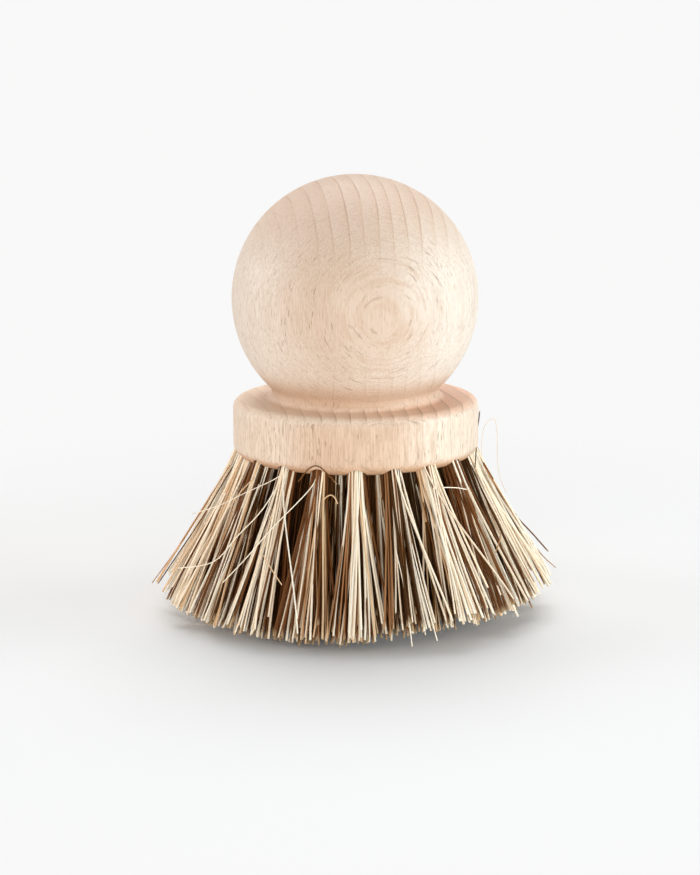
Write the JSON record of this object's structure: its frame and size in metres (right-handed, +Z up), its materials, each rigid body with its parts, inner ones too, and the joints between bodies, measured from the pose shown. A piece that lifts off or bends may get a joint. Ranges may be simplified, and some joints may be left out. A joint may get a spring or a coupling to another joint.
{
  "type": "dish brush",
  "caption": "Short dish brush: a turned beech ball grip and round head in one piece, with flared tufts of mixed plant fibre staple-set in drilled holes underneath.",
  "frame": {"origin": "on the surface the brush stands on, under the centre of the head, at the trimmed fibre tips", "axes": "+Z up the brush's turning axis to the ball's pole, -Y towards the picture's front"},
  "size_m": [0.08, 0.08, 0.0895],
  "materials": {
    "beech": "matte",
    "plant_fibre": "matte",
    "staple_wire": "satin"
  },
  "bodies": {
    "root": {"handle_block": "beech", "tuft_centre": "plant_fibre", "tuft_inner_01": "plant_fibre", "tuft_inner_02": "plant_fibre", "tuft_inner_03": "plant_fibre", "tuft_inner_04": "plant_fibre", "tuft_inner_05": "plant_fibre", "tuft_inner_06": "plant_fibre", "tuft_middle_01": "plant_fibre", "tuft_middle_02": "plant_fibre", "tuft_middle_03": "plant_fibre", "tuft_middle_04": "plant_fibre", "tuft_middle_05": "plant_fibre", "tuft_middle_06": "plant_fibre", "tuft_middle_07": "plant_fibre", "tuft_middle_08": "plant_fibre", "tuft_middle_09": "plant_fibre", "tuft_middle_10": "plant_fibre", "tuft_middle_11": "plant_fibre", "tuft_middle_12": "plant_fibre", "tuft_outer_01": "plant_fibre", "tuft_outer_02": "plant_fibre", "tuft_outer_03": "plant_fibre", "tuft_outer_04": "plant_fibre", "tuft_outer_05": "plant_fibre", "tuft_outer_06": "plant_fibre", "tuft_outer_07": "plant_fibre", "tuft_outer_08": "plant_fibre", "tuft_outer_09": "plant_fibre", "tuft_outer_10": "plant_fibre", "tuft_outer_11": "plant_fibre", "tuft_outer_12": "plant_fibre", "tuft_outer_13": "plant_fibre", "tuft_outer_14": "plant_fibre", "tuft_outer_15": "plant_fibre", "tuft_outer_16": "plant_fibre", "tuft_outer_17": "plant_fibre", "tuft_outer_18": "plant_fibre", "tuft_outer_19": "plant_fibre", "tuft_outer_20": "plant_fibre", "anchor_staples": "staple_wire"}
  },
  "joints": []
}
